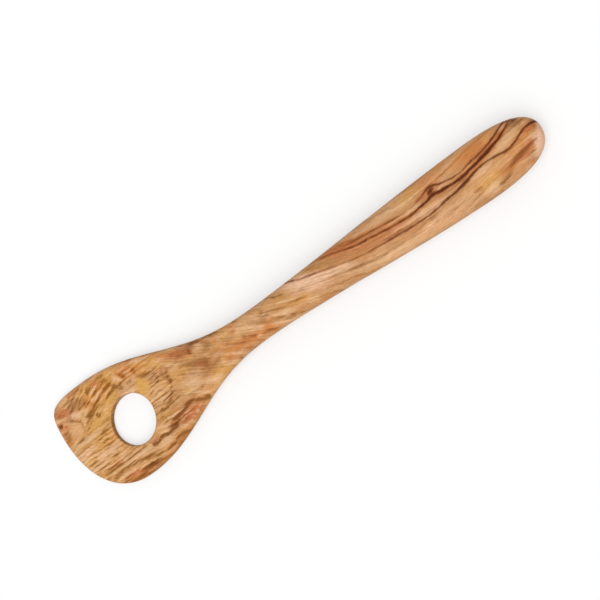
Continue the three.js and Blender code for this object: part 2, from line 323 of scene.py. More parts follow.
# Patches: colour, station, offset, half length, half width, turn in degrees, strength.
PATCHES = (
    # Grip and butt
    ("amber", 268, 8, 13, 3.4, 6, 0.85),
    ("amber", 240, 8, 14, 3, 0, 0.6),
    ("gold", 228, 7.5, 7, 3, 0, 0.5),
    ("pale", 214, 7, 16, 2.6, -5, 0.4),
    ("gold", 279, 10, 4, 1.6, 25, 0.5),
    ("rust", 187, 5.8, 10, 2, -17, 0.8),
    ("rust", 270, 2.8, 14, 2.2, 12, 0.6),
    ("rust", 240, 3, 6, 2.6, 0, 0.7),
    ("rose", 226, -3, 16, 1.4, -2, 0.45),
    ("rust", 203, -0.6, 16, 2, -14, 0.45),
    ("rust", 204, 3.4, 20, 1.7, -10, 0.45),
    ("pale", 246, -7.6, 14, 1.8, 3, 0.2),
    # The next two pale patches run along the right side of the grip: partly paler wood, partly painted
    # light on that side.
    ("pale", 234, -11.5, 26, 3, 0, 0.5),
    ("pale", 205, -9.5, 16, 2.2, -8, 0.5),
    ("gold", 268, -9, 6, 3, 8, 0.6),
    ("pale", 267, -12.5, 4, 1.6, 10, 0.6),
    ("rose", 267, -3.4, 6, 1.2, 8, 0.5),
    ("amber", 288, -3, 7, 2.6, 20, 0.5),
    ("pale", 284, 2, 7, 2.2, 22, 0.5),
    ("umber", 291, 7, 3.5, 1.6, -25, 0.5),
    ("rust", 288, -7, 10, 2, 17, 0.75),
    # Painted highlight: this rose patch lies along the right of the butt's end.
    ("rose", 297, -5.5, 3.5, 1.8, 65, 0.8),
    ("rust", 296, 1, 3, 1.4, 10, 0.6),
    ("vein", 290, 9.4, 2.6, 0.9, -15, 0.8),
    ("vein", 298, 3, 1.4, 1.1, 0, 0.75),
    ("vein", 241.6, 2.6, 1.5, 2.2, 0, 1),
    ("vein", 242, 1.3, 2.8, 1, 0, 0.8),
    # Neck
    ("rose", 162, 4, 11, 2.8, -20, 0.95),
    ("rose", 166, -0.6, 10, 2.6, -14, 0.7),
    ("rose", 178, -0.6, 11, 1.7, -15, 0.85),
    ("pale", 183, -3.4, 7, 1.4, -15, 0.5),
    ("gold", 158, -3.2, 6, 1.5, -8, 0.5),
    ("pale", 147, -4.2, 3.6, 1.8, -10, 0.5),
    ("pale", 122, 3.4, 17, 2.8, -6, 0.4),
    ("amber", 121, -4.4, 14, 2.6, -6, 0.5),
    ("umber", 136, -0.2, 2.6, 1.6, 0, 0.5),
    ("amber", 135.5, -5.2, 3.6, 2, -10, 0.8),
    ("rust", 125, -5, 3.6, 1.7, -20, 0.35),
    ("umber", 121.8, -1.3, 1.2, 1.2, 0, 0.5),
    ("umber", 119, -8, 2.4, 1.2, 0, 0.4),
    ("rust", 117.5, -3.6, 3, 1.5, -15, 0.4),
    ("amber", 117.3, 4, 2.6, 2, 0, 0.6),
    ("umber", 113.5, 2.6, 3, 1.7, 0, 0.35),
    ("gold", 112, 5, 2.8, 2, 0, 0.5),
    ("amber", 109, -5, 2.8, 2.8, 0, 0.6),
    ("amber", 104.8, 6.4, 1.6, 2, 0, 0.7),
    ("umber", 100, 6, 3, 2.6, 0, 0.5),
    # Head towards the neck
    ("rust", 84.5, 11.2, 7.5, 2.8, -15, 0.75),
    ("umber", 84, 11, 5, 1.6, -15, 0.3),
    ("umber", 92, 11.4, 3, 1.2, -18, 0.6),
    ("pale", 95, 7.6, 3, 2, 0, 0.45),
    ("umber", 92, 0.8, 9.5, 2, -29, 0.65),
    ("rust", 95, -1.2, 6, 2.4, -30, 0.4),
    ("umber", 97, -4.2, 4, 2.4, -35, 0.3),
    ("pale", 83.5, -3.6, 6, 2.8, 0, 0.5),
    ("umber", 69, -7.4, 7, 3.4, 4, 0.2),
    ("umber", 71.5, 7, 1.4, 5, 8, 0.45),
    ("gold", 101, -7.5, 5, 2, 0, 0.5),
    ("pale", 95, -9.5, 5, 1.4, -12, 0.55),
    # Right of the hole and along the right edge of the head
    ("umber", 66, -16.4, 10, 3.4, 8, 0.45),
    ("rust", 66, -16.6, 10, 3, 8, 0.5),
    ("rust", 75, -16.6, 5.5, 2.6, 14, 0.85),
    ("rust", 70.5, -19.2, 3.6, 1.4, 8, 0.6),
    ("rust", 48, -17.4, 4.5, 1.6, -5, 0.6),
    ("pale", 53, -21.2, 6, 1.6, 0, 0.55),
    ("rust", 32, -26.2, 12, 1.8, -8, 0.5),
    ("umber", 40, -27.4, 8, 1.6, -3, 0.55),
    # Left of the hole
    ("amber", 52.5, 21.4, 6, 2.6, -8, 1),
    ("umber", 50, 20.2, 1.8, 2, 0, 0.6),
    ("umber", 56.3, 20, 1.2, 2, 0, 0.5),
    ("gold", 61, 17.4, 4.5, 3, -25, 0.75),
    ("gold", 57, 8.8, 4.4, 4.8, 0, 1),
    ("gold", 69, 15, 4, 3, -25, 0.7),
    ("amber", 75, 15, 4.5, 2, -22, 0.5),
    ("amber", 55, 17.8, 7, 2.6, -14, 0.6),
    ("umber", 60.5, 13.2, 4.5, 1.4, -28, 0.5),
    ("umber", 66, 7.4, 1.6, 2.6, -15, 0.3),
    ("pale", 62.5, 4, 5, 3.4, 10, 0.45),
    # Front left corner of the head
    ("gold", 30, 19.5, 13, 6, 14, 0.85),
    ("amber", 28, 20, 11, 4.4, 12, 0.55),
    ("gold", 23.5, 25.8, 4, 2.4, 0, 0.7),
    ("rust", 31.8, 24.3, 2.8, 1.6, 8, 0.85),
    ("rust", 17.5, 27.4, 3.4, 1.2, 0, 0.6),
    ("rust", 22, 26.8, 1.8, 1.2, 0, 0.5),
    ("rust", 8.5, 21.4, 5, 1.8, -10, 0.65),
    ("umber", 17, 21.4, 6, 2.4, -5, 0.4),
    ("rust", 3.8, 15.6, 2.4, 3, 0, 0.9),
    ("vein", 2.2, 16.8, 1.4, 1.2, 0, 0.5),
    ("umber", 3.6, 10.2, 2.2, 2.6, 0, 0.5),
    ("rose", 10.8, 11.4, 3.6, 4, 0, 0.3),
    ("rose", 13.5, 17.2, 3.4, 1.6, -15, 0.5),
    ("pale", 18.5, 15.2, 3, 2.4, 40, 0.4),
    ("gold", 25, 6.6, 8, 3.4, 6, 0.7),
    ("gold", 35, 12.5, 6, 3, 20, 0.6),
    # Front of the head
    ("gold", 9, -7.2, 4, 1.6, 0, 0.6),
    ("gold", 9, 1.6, 4, 1.4, 0, 0.5),
    ("gold", 22, -1.2, 8, 4, 0, 0.55),
    ("rose", 20, -8.6, 9, 2, 4, 0.4),
)

# Places with few lines: station, offset, half length, half width, turn in degrees.
CALM_PLACES = (
    (10.6, 11.6, 4, 4.4, 0),
    (57, 8.8, 4, 4.2, 0),
)

# Places of the head with a grain of their own, given in the same way.
RIPPLED_PLACE = (65, -7, 12, 13, 0)
BARRED_PLACE = (20, -9, 22, 12, 0)
CORNER_PLACE = (23, 18, 21, 10, 15)
CORNER_CENTRE = (24, 17, 0)
CORNER_TURN = 26

# How often a pattern repeats in a millimetre: along the grain, across it and down.
SLOW_WANDER = (0.045, 0.06, 0.05)
QUICK_WANDER = (0.17, 0.24, 0.2)
STROKE_WANDER = (0.3, 0.45, 0.3)
VEIN_WANDER = (0.5, 0.7, 0.5)
VEIN_FRAY = (0.22, 0.3, 0.3)
HANDLE_BANDS = (0.014, 0.3, 0.1)
HEAD_BANDS = (0.03, 0.3, 0.1)
HANDLE_LINES = (0.025, 0.9, 0.25)
HEAD_LINES = (0.06, 0.85, 0.25)
CORNER_LINES = (0.09, 0.7, 0.25)
GOLD_CLOUDS = (0.03, 0.1, 0.1)
AMBER_CLOUDS = (0.035, 0.13, 0.1)
MOTTLE = (0.16, 0.32, 0.25)
FLECKS = (0.32, 2.4, 2.0)
FIBRES = (0.3, 6.0, 4.0)

# Moves the amber clouds away from the golden ones, in repeats of the pattern.
AMBER_SHIFT = (2.5, 4.0, 1.0)
NO_SHIFT = (0.0, 0.0, 0.0)

# Detail and roughness of those patterns.
WANDER_DETAIL = 1.0
FIBRE_DETAIL = 2.0
GRAIN_DETAIL = 3.0
EVEN_ROUGHNESS = 0.5
MOTTLE_ROUGHNESS = 0.6

# Curves, noise and streaks run from 0 to 1, with this value in the middle.
HALFWAY = 0.5

# How far lines of the grain wander, in millimetres: slowly by a sway, quickly by a curl.
HANDLE_SWAY = 2.0
HANDLE_CURL = 1.2
HEAD_SWAY = 3.0
HEAD_CURL = 1.8
CORNER_CURL = 2.2
MORE_CURL_IN_RIPPLES = 1.6
VEIN_CURL = 0.6
VEIN_TREMBLE = 0.5

# How far the grain pulls strokes, patches and the border of the head about, in millimetres.
STROKE_SHIFT = 1.4
STROKE_TREMBLE = (1.8, 0.9, 0.0)
PATCH_STIR = (5.0, 2.5, 4.0)
HEAD_TEAR = 14.0

# Fine bars side by side on the head: distance from one to the next in millimetres, and tone.
BAR_PITCH = 2.15
FAINT_BARS = 0.03
CLEAR_BARS = 0.12

# Gradual changes by station or height: where each begins and ends, and its value before and after.
HEAD_BORDER = (82.0, 64.0, 0.0, 1.0)
GOLD_ALONG = (100.0, 140.0, 0.45, 0.22)
HANDLE_CONTRAST = (140.0, 175.0, 0.82, 0.95)
MOTTLE_DEPTH = (175.0, 130.0, 0.15, 0.72)
BUTT = (288.0, 295.0, 0.0, 1.0)
SKIN = (4.0, 7.0, 0.0, 1.0)

# Contrast of the lines of the head, which is the same all over it.
HEAD_CONTRAST = 1.32

# Gradual changes by the value of a pattern or mask, given in the same way.
PALE_BANDS = (0.38, 0.8, 0.0, 1.0)
AMBER_EDGE = (0.5, 0.7, 0.0, 0.48)
CALMING = (0.0, 1.0, 1.0, 0.15)
FRAYED_WIDTH = (0.3, 0.7, 0.8, 1.2)
FLECK_SHADE = (0.3, 0.7, 0.87, 1.13)

# Where two more of them begin and end, and how far the roughness goes up and down with the second.
GOLD_EDGE = (0.42, 0.66)
FIBRE_SHINE = (0.2, 0.8)
SHINE_SPREAD = 0.06

# Gradual changes by tone, which is 0 on plain wood, less on dark lines and more on pale ones.
DARK_TONE = (0.02, -0.36, 0.0, 0.92)
PALE_TONE = (0.0, 0.36, 0.0, 0.85)
VEIN_TONE = (-0.4, -0.8, 0.0, 0.85)
# How far a full stroke moves the tone.
STROKE_TONES = {"umber": -0.32, "vein": -0.62, "pale": 0.32}
# What a dark line leaves of the red, green and blue of the wood under it, and how much that counts.
DEEPENING = (0.42, 0.32, 0.14)
DEEPENED_SHARE = 0.65

# Gradual changes by the way that a face looks: along the spoon for end grain, upwards for painted
# shade, or to the lit side for a painted highlight.
END_GRAIN = (0.45, 0.95, 0.0, 0.7)
# Painted shade: the side walls of the head and the wall of the hole darken as they turn away from
# upwards.
SHADED_WALLS = (0.85, 0.3, 0.0, 0.5)
# Painted highlight: the faces of the butt's end that turn this way are painted paler.
LIT_SIDE = (0.83, -0.55, 0.0)
LIT_FACING = (0.62, 0.82, 0.0, 0.8)

# Shape of a vein, in millimetres: soft edge, half width that shows in full, stained wood beside it.
VEIN_SOFTNESS = 0.4
VEIN_FULL_WIDTH = 0.6
VEIN_HALO = 1.5
# Share of the half width that is darkest, and how the core darkens as the half width grows.
VEIN_CORE = 0.25
VEIN_DARKNESS = (0.3, 0.9, 0.45, 1.0)

# Shape of a stroke: least half width in millimetres, and share of its length added at each end.
STROKE_HAIR = 0.5
STROKE_RUNOUT = 0.14
# Makes the share of the way times the rest of it 1 in the middle.
MIDDLE_LIFT = 4.0

# Shape of a patch: half depth in millimetres, then in half sizes of the patch how far streaks tear
# its edge and where the edge begins and ends.
PATCH_DEPTH = 14.0
PATCH_TEAR = 1.9
PATCH_EDGE = (0.4, 1.7, 1.0, 0.0)

# Spans of the curves for grain and veins, half to either side, in millimetres.
SWEEP_REACH = 100.0
VEIN_REACH = 60.0
VEIN_WIDTH_REACH = 4.0

# The grain leans below this height in millimetres, by this much for each of them.
LEAN_START = 7.0
GRAIN_LEAN = -0.35

# Height of the upper face of the head, and the station from which a patch lies on the handle.
HEAD_FACE = 5.0
HEAD_END = 110.0

# Two triangles become one face if they are this flat and this near to a square, in radians.
JOIN_FLATNESS = 0.7
JOIN_SQUARENESS = 1.2

# Places of a Mix node's sockets: factor, first, second and result.
MIX_NUMBERS = (0, 2, 3, 0)
MIX_COLOURS = (0, 6, 7, 2)

NUMBER = "NodeSocketFloat"
VECTOR = "NodeSocketVector"


def colour_setting(name, description, default):
    """A colour as a property, in linear values."""
    return FloatVectorProperty(
        name=name, description=description, subtype="COLOR", min=0.0, max=1.0, default=default
    )


def factor_setting(name, description, default):
    """A number from 0 to 1 as a property."""
    return FloatProperty(
        name=name, description=description, subtype="FACTOR", min=0.0, max=1.0, default=default
    )


def strength_setting(name, description, default):
    """The strength of a light as a property."""
    return FloatProperty(name=name, description=description, min=0.0, default=default)


def length_setting(name, description, metres):
    """A length as a property."""
    return FloatProperty(name=name, description=description, unit="LENGTH", default=metres)


def angle_setting(name, description, degrees):
    """An angle as a property, given in degrees."""
    return FloatProperty(
        name=name, description=description, subtype="ANGLE", default=math.radians(degrees)
    )


class SpoonWood(bpy.types.PropertyGroup):
    """Colours and finish of the olive wood."""

    tan: colour_setting("Tan", "Most of the wood", (0.53, 0.245, 0.092))
    pale: colour_setting("Pale", "Light streaks between the veins", (0.79, 0.49, 0.275))
    umber: colour_setting("Umber", "Dark streaks of the head and the handle", (0.255, 0.088, 0.018))
    gold: colour_setting("Gold", "Golden wood round the hole", (0.70, 0.37, 0.095))
    amber: colour_setting("Amber", "Orange patches", (0.62, 0.215, 0.05))
    rose: colour_setting("Rose", "Pinkish pale wood under the lower vein", (0.86, 0.53, 0.34))
    rust: colour_setting("Rust", "Reddish wood beside veins and edges", (0.50, 0.15, 0.045))
    vein: colour_setting("Vein", "Core of a dark vein", (0.085, 0.014, 0.0))
    roughness: factor_setting("Roughness", "Satin of the oiled wood", 0.46)
    gloss: factor_setting("Gloss", "How much the oiled wood mirrors", 0.1)
    fibre_depth: length_setting("Fibre depth", "Height of the fibres felt along the grain", 0.00004)


class SpoonCarving(bpy.types.PropertyGroup):
    """How the carved body is smoothed by hand."""

    weld: length_setting("Weld", "Points closer than this become one", 0.00001)
    seat: length_setting("Seat", "Height up to which the underside stays as it is", 0.0005)
    unevenness: length_setting("Unevenness", "How far the hand-sanded face wanders", 0.00012)
    wander: length_setting("Wander", "Distance from one low place to the next", 0.022)
    smoothing: IntProperty(
        name="Smoothing", description="Levels of subdivision", min=0, max=3, default=2
    )


class SpoonStudio(bpy.types.PropertyGroup):
    """Floor, light and camera."""

    floor_size: length_setting("Floor size", "Side of the square floor", 6.0)
    floor_colour: colour_setting("Floor", "Colour of the paper floor", (0.5, 0.5, 0.5))
    sky_light: strength_setting("Sky light", "Even light from all round", 0.52)
    lamp_light: strength_setting("Lamp light", "Strength of the soft lamp", 1.75)
    lamp_spread: angle_setting("Lamp spread", "Width of the soft lamp as an angle", 70)
    lamp_azimuth: angle_setting("Lamp azimuth", "Side that the lamp stands on", 15)
    lamp_elevation: angle_setting("Lamp elevation", "Height of the lamp over the floor", 62)
    aim: FloatVectorProperty(
        name="Aim", description="Point in the middle of the picture", subtype="TRANSLATION",
        default=(0.00148, -0.00009, 0.0),
    )
    camera_distance: length_setting("Camera distance", "From the aim point", 1.0)
    camera_azimuth: angle_setting("Camera azimuth", "Side that the camera stands on", 60.67)
    camera_elevation: angle_setting("Camera elevation", "Height of the camera over the floor", 64.7)
    camera_roll: angle_setting("Camera roll", "Turn of the picture", -93.3)
    lens: FloatProperty(name="Lens", description="Focal length in millimetres", default=123.68)


class Wiring:
    """Adds nodes to one tree and links them, so that a material reads as a list of steps."""

    def __init__(self, tree):
        self.tree = tree

    def node(self, kind, **settings):
        made = self.tree.nodes.new(kind)
        for name, value in settings.items():
            setattr(made, name, value)
        return made

    def feed(self, socket, value):
        """Links a socket to another one, or sets its plain value."""
        if isinstance(value, bpy.types.NodeSocket):
            self.tree.links.new(value, socket)
        elif socket.type == "RGBA":
            socket.default_value = (*value, 1.0)
        else:
            socket.default_value = value

    def step(self, kind, *values, result=0, **settings):
        """Adds a node, feeds its first inputs in their order and gives one of its outputs."""
        made = self.node(kind, **settings)
        for socket, value in zip(made.inputs, values):
            self.feed(socket, value)
        return made.outputs[result]

    def math(self, operation, *values, clamp=False):
        return self.step("ShaderNodeMath", *values, operation=operation, use_clamp=clamp)

    def vector(self, operation, *values):
        result = "Value" if operation == "DOT_PRODUCT" else "Vector"
        return self.step("ShaderNodeVectorMath", *values, result=result, operation=operation)

    def total(self, *terms):
        """Sum of plain terms and of pairs that are multiplied first."""
        result = 0.0
        for term in terms:
            if isinstance(term, tuple):
                result = self.math("MULTIPLY_ADD", *term, result)
            else:
                result = self.math("ADD", term, result)
        return result

    def combine(self, x, y, z):
        return self.step("ShaderNodeCombineXYZ", x, y, z)

    def split(self, vector):
        made = self.node("ShaderNodeSeparateXYZ")
        self.feed(made.inputs[0], vector)
        return tuple(made.outputs)

    def turned(self, place, centre, degrees):
        """Place as seen from a centre of its own, turned in the plan."""
        turn = (0.0, 0.0, math.radians(degrees))
        return self.step("ShaderNodeMapping", place, centre, turn, vector_type="TEXTURE")

    def ease(self, value, start, end, low=0.0, high=1.0):
        """Goes smoothly from low to high while the value goes from start to end."""
        return self.step(
            "ShaderNodeMapRange", value, start, end, low, high,
            interpolation_type="SMOOTHSTEP", clamp=False,
        )

    def noise(self, place, often, detail, roughness=EVEN_ROUGHNESS, shift=NO_SHIFT, result="Fac"):
        """Noise that repeats so often in a millimetre, along, across and down."""
        made = self.node("ShaderNodeTexNoise", noise_dimensions="3D")
        scaled = self.vector("MULTIPLY_ADD", place, often, shift)
        settings = {"Vector": scaled, "Scale": 1.0, "Detail": detail, "Roughness": roughness}
        for name, value in settings.items():
            self.feed(made.inputs[name], value)
        return made.outputs[result]

    def stir(self, place, often, detail=WANDER_DETAIL):
        """A vector that wanders about zero, up to a half each way."""
        wandering = self.noise(place, often, detail, result="Color")
        return self.vector("SUBTRACT", wandering, (HALFWAY,) * 3)

    def mix(self, kind, sockets, *values):
        made = self.node("ShaderNodeMix", data_type=kind)
        *places, result = sockets
        for place, value in zip(places, values):
            self.feed(made.inputs[place], value)
        return made.outputs[result]

    def blend(self, factor, first, second):
        """Mixes two colours."""
        return self.mix("RGBA", MIX_COLOURS, factor, first, second)

    def between(self, factor, first, second):
        """Mixes two numbers."""
        return self.mix("FLOAT", MIX_NUMBERS, factor, first, second)

    def curve(self, value, points):
        """A smooth curve through points that lie between 0 and 1 both ways."""
        made = self.node("ShaderNodeFloatCurve")
        line = made.mapping.curves[0]
        while len(line.points) < len(points):
            line.points.new(0.0, 0.0)
        for point, place in zip(line.points, points):
            point.location = place
            point.handle_type = "AUTO"
        made.mapping.update()
        self.feed(made.inputs["Value"], value)
        return made.outputs[0]

    def group(self, tree, **values):
        """Places a node group; its inputs are named with underscores for spaces."""
        made = self.node("ShaderNodeGroup", node_tree=tree)
        for name, value in values.items():
            self.feed(made.inputs[name.replace("_", " ")], value)
        return made.outputs


def emptied_tree(owner):
    """Node tree of a material or a world, with nothing in it."""
    owner.use_nodes = True
    owner.node_tree.nodes.clear()
    return owner.node_tree


def new_group(name, inputs, outputs):
    """An empty node group with number and vector sockets: its wiring, inputs and outputs."""
    tree = bpy.data.node_groups.new(name, "ShaderNodeTree")
    for label, kind in inputs.items():
        tree.interface.new_socket(label, in_out="INPUT", socket_type=kind)
    for label, kind in outputs.items():
        tree.interface.new_socket(label, in_out="OUTPUT", socket_type=kind)
    wiring = Wiring(tree)
    entry = wiring.node("NodeGroupInput")
    leave = wiring.node("NodeGroupOutput")
    return wiring, entry.outputs, leave.inputs


def vein_group():
    """A vein as a thin sheet in the wood: a sharp core and the stained wood beside it."""
    wiring, given, result = new_group(
        "Vein",
        {"Across": NUMBER, "Path": NUMBER, "Half Width": NUMBER},
        {"Core": NUMBER, "Halo": NUMBER},
    )
    half = given["Half Width"]
    gap = wiring.math("ABSOLUTE", wiring.math("SUBTRACT", given["Across"], given["Path"]))
    strength = wiring.ease(half, 0.0, VEIN_FULL_WIDTH)
    inner = wiring.math("MULTIPLY", half, VEIN_CORE)
    core = wiring.ease(gap, inner, wiring.math("ADD", half, VEIN_SOFTNESS), 1.0, 0.0)
    halo = wiring.ease(gap, 0.0, wiring.math("ADD", half, VEIN_HALO), 1.0, 0.0)
    wiring.feed(result["Core"], wiring.math("MULTIPLY", core, strength))
    wiring.feed(result["Halo"], wiring.math("MULTIPLY", halo, strength))
    return wiring.tree


def stroke_group():
    """A stroke between two points of the plan: full in its middle and fine at both ends."""
    vectors = dict.fromkeys(("Place", "From", "Along", "Side"), VECTOR)
    wiring, given, result = new_group(
        "Stroke", {**vectors, "Bow": NUMBER, "Width": NUMBER}, {"Mask": NUMBER}
    )
    reach = wiring.vector("SUBTRACT", given["Place"], given["From"])
    share = wiring.vector("DOT_PRODUCT", reach, given["Along"])
    aside = wiring.vector("DOT_PRODUCT", reach, given["Side"])
    rest = wiring.math("SUBTRACT", 1.0, share)
    middle = wiring.math("MULTIPLY", wiring.math("MULTIPLY", rest, share), MIDDLE_LIFT)
    bend = wiring.math("MULTIPLY", given["Bow"], middle)
    gap = wiring.math("ABSOLUTE", wiring.math("SUBTRACT", aside, bend))
    full = wiring.ease(middle, 0.0, 1.0)
    rim = wiring.math("MULTIPLY_ADD", given["Width"], full, STROKE_HAIR)
    wiring.feed(result["Mask"], wiring.math("MULTIPLY", wiring.ease(gap, 0.0, rim, 1.0, 0.0), full))
    return wiring.tree


def patch_group():
    """A patch in the wood: 1 at its middle, 0 outside, with an edge that the streaks tear."""
    vectors = dict.fromkeys(("Place", "Centre", "Along", "Side"), VECTOR)
    wiring, given, result = new_group("Patch", {**vectors, "Streak": NUMBER}, {"Mask": NUMBER})
    reach = wiring.vector("SUBTRACT", given["Place"], given["Centre"])
    square = 0.0
    for axis in (given["Along"], given["Side"], (0.0, 0.0, 1.0 / PATCH_DEPTH)):
        part = wiring.vector("DOT_PRODUCT", reach, axis)
        square = wiring.math("MULTIPLY_ADD", part, part, square)
    tear = wiring.math("SUBTRACT", given["Streak"], HALFWAY)
    torn = wiring.math("MULTIPLY_ADD", tear, PATCH_TEAR, wiring.math("SQRT", square))
    wiring.feed(result["Mask"], wiring.ease(torn, *PATCH_EDGE))
    return wiring.tree


class OliveWood(Wiring):
    """Solid olive wood, read from the piece's own place in millimetres.

    Each step paints over the colour that the step before it left.
    """

    def __init__(self, look):
        self.material = bpy.data.materials.new("Olive wood")
        super().__init__(emptied_tree(self.material))
        self.look = look
        self.vein_tree = vein_group()
        self.stroke_tree = stroke_group()
        self.patch_tree = patch_group()
        self.locate()
        self.lay_grain()
        self.ground()
        self.paint_patches()
        self.draw_strokes()
        self.stain()
        self.tint_edges()
        self.paint_veins()
        self.fleck()
        self.finish()

    def paint(self, factor, colour):
        """Lays a colour over what is there."""
        self.colour = self.blend(factor, self.colour, colour)

    def patch(self, place, station, offset, half_length, half_width, turn, streak=HALFWAY):
        """Mask of one patch; its turn is in degrees, seen from above."""
        along = Vector((math.cos(math.radians(turn)), math.sin(math.radians(turn)), 0.0))
        side = Vector((-along.y, along.x, 0.0))
        height = GRIP_TOP if station > HEAD_END else HEAD_FACE
        return self.group(
            self.patch_tree, Place=place, Centre=(station, offset, height),
            Along=along / half_length, Side=side / half_width, Streak=streak,
        )["Mask"]

    def stroke(self, place, start, end, bow, width):
        """Mask of one stroke between two points of the plan."""
        start = Vector((*start, 0.0))
        run = Vector((*end, 0.0)) - start
        start -= run * STROKE_RUNOUT
        run *= 1.0 + 2.0 * STROKE_RUNOUT
        side = Vector((-run.y, run.x, 0.0)).normalized()
        return self.group(
            self.stroke_tree, Place=place, From=start, Along=run / run.length_squared,
            Side=side, Bow=bow, Width=width,
        )["Mask"]

    def along_curve(self, rows, column, reach):
        """A number that follows one column of the rows from station to station."""
        points = [(row[0] / SPOON_LENGTH, row[column] / reach + HALFWAY) for row in rows]
        curve = self.curve(self.share, points)
        return self.math("MULTIPLY_ADD", curve, reach, -reach * HALFWAY)

    def swayed(self, line, sway, curl):
        """A line of the grain that wanders slowly by its sway and quickly by its curl."""
        return self.total(line, (self.slow_side, sway), (self.quick_side, curl))

    def locate(self):
        """Where a point lies in the wood, and how the grain wanders there."""
        self.source = self.node("ShaderNodeTexCoord")
        metres = self.vector("SUBTRACT", self.source.outputs["Object"], (CAD_LOW.x, 0.0, 0.0))
        self.place = self.vector("MULTIPLY", metres, (MILLIMETRES_PER_METRE,) * 3)
        self.station, self.offset, self.height = self.split(self.place)
        self.share = self.math("DIVIDE", self.station, SPOON_LENGTH)
        depth = self.math("MINIMUM", self.math("SUBTRACT", self.height, LEAN_START), 0.0)
        self.across = self.math("MULTIPLY_ADD", depth, GRAIN_LEAN, self.offset)
        self.slow_side = self.split(self.stir(self.place, SLOW_WANDER))[1]
        self.quick = self.stir(self.place, QUICK_WANDER, FIBRE_DETAIL)
        quick_along, self.quick_side, _ = self.split(self.quick)
        torn = self.math("MULTIPLY_ADD", quick_along, HEAD_TEAR, self.station)
        self.head = self.ease(torn, *HEAD_BORDER)

    def lay_grain(self):
        """Bands and lines along the grain, which runs its own way on the handle, head and corner."""
        sweep = self.along_curve(GRAIN_SWEEP, 1, SWEEP_REACH)
        bent = self.math("SUBTRACT", self.across, sweep)
        grain = self.swayed(bent, HANDLE_SWAY, HANDLE_CURL)
        self.handle_run = self.combine(self.station, grain, self.height)

        ripples = self.patch(self.place, *RIPPLED_PLACE)
        curl = self.math("MULTIPLY_ADD", ripples, MORE_CURL_IN_RIPPLES, HEAD_CURL)
        flat = self.swayed(self.offset, HEAD_SWAY, curl)
        head_run = self.combine(self.station, flat, self.height)

        corner_place = self.turned(self.place, CORNER_CENTRE, CORNER_TURN)
        corner_along, corner_across, _ = self.split(corner_place)
        corner_across = self.swayed(corner_across, HEAD_SWAY, CORNER_CURL)
        corner_run = self.combine(corner_along, corner_across, self.height)

        handle_bands = self.noise(self.handle_run, HANDLE_BANDS, GRAIN_DETAIL)
        head_bands = self.noise(head_run, HEAD_BANDS, GRAIN_DETAIL)
        self.bands = self.between(self.head, handle_bands, head_bands)

        wave = self.math("SINE", self.math("MULTIPLY", flat, math.tau / BAR_PITCH))
        barred = self.math("MAXIMUM", ripples, self.patch(self.place, *BARRED_PLACE))
        depth = self.between(barred, FAINT_BARS, CLEAR_BARS)
        handle_lines = self.noise(self.handle_run, HANDLE_LINES, GRAIN_DETAIL)
        head_lines = self.noise(head_run, HEAD_LINES, GRAIN_DETAIL)
        head_lines = self.math("MULTIPLY_ADD", wave, depth, head_lines)
        corner_lines = self.noise(corner_run, CORNER_LINES, GRAIN_DETAIL)
        head_lines = self.between(self.patch(self.place, *CORNER_PLACE), head_lines, corner_lines)
        self.lines = self.between(self.head, handle_lines, head_lines)

    def ground(self):
        """Tan and pale bands, with golden and orange clouds."""
        look = self.look
        self.colour = self.blend(self.ease(self.bands, *PALE_BANDS), look.tan, look.pale)
        gold = self.noise(self.place, GOLD_CLOUDS, FIBRE_DETAIL)
        gold_amount = self.ease(self.station, *GOLD_ALONG)
        self.paint(self.ease(gold, *GOLD_EDGE, 0.0, gold_amount), look.gold)
        amber = self.noise(self.place, AMBER_CLOUDS, FIBRE_DETAIL, shift=AMBER_SHIFT)
        self.paint(self.ease(amber, *AMBER_EDGE), look.amber)

    def paint_patches(self):
        """Patches of the other colours, with edges that bands and lines tear alike."""
        stirred = self.vector("MULTIPLY_ADD", self.quick, PATCH_STIR, self.place)
        streak = self.between(HALFWAY, self.bands, self.lines)
        for name, *shape, strength in PATCHES:
            mask = self.patch(stirred, *shape, streak)
            self.paint(self.math("MULTIPLY", mask, strength), getattr(self.look, name))

    def draw_strokes(self):
        """Strokes: rust ones are painted at once, and the others move the tone of the grain.

        They go right through the head, and only skin deep into the handle.
        """
        tremble = self.stir(self.place, STROKE_WANDER)
        shift = self.math("MULTIPLY_ADD", self.lines, STROKE_SHIFT, -STROKE_SHIFT * HALFWAY)
        flat = self.combine(self.station, self.math("ADD", self.offset, shift), 0.0)
        place = self.vector("MULTIPLY_ADD", tremble, STROKE_TREMBLE, flat)
        skin = self.math("MAXIMUM", self.head, self.ease(self.height, *SKIN))
        drawn = 0.0
        for name, station, offset, far_station, far_offset, bow, width, strength in STROKES:
            mask = self.stroke(place, (station, offset), (far_station, far_offset), bow, width)
            if name in STROKE_TONES:
                drawn = self.math("MULTIPLY_ADD", mask, strength * STROKE_TONES[name], drawn)
            else:
                factor = self.math("MULTIPLY", self.math("MULTIPLY", mask, skin), strength)
                self.paint(factor, getattr(self.look, name))
        self.tone = self.math("MULTIPLY_ADD", drawn, skin, self.chance_tone())

    def chance_tone(self):
        """Tone of the lines and the mottle that no stroke draws, fainter in calm places."""
        contrast = self.between(self.head, self.ease(self.station, *HANDLE_CONTRAST), HEAD_CONTRAST)
        chance = self.math("MULTIPLY", self.math("SUBTRACT", self.lines, HALFWAY), contrast)
        mottle = self.noise(self.place, MOTTLE, GRAIN_DETAIL, MOTTLE_ROUGHNESS)
        depth = self.ease(self.station, *MOTTLE_DEPTH)
        mottle = self.math("SUBTRACT", mottle, HALFWAY)
        chance = self.math("MULTIPLY_ADD", mottle, depth, chance)
        for shape in CALM_PLACES:
            calm = self.ease(self.patch(self.place, *shape), *CALMING)
            chance = self.math("MULTIPLY", chance, calm)
        return chance

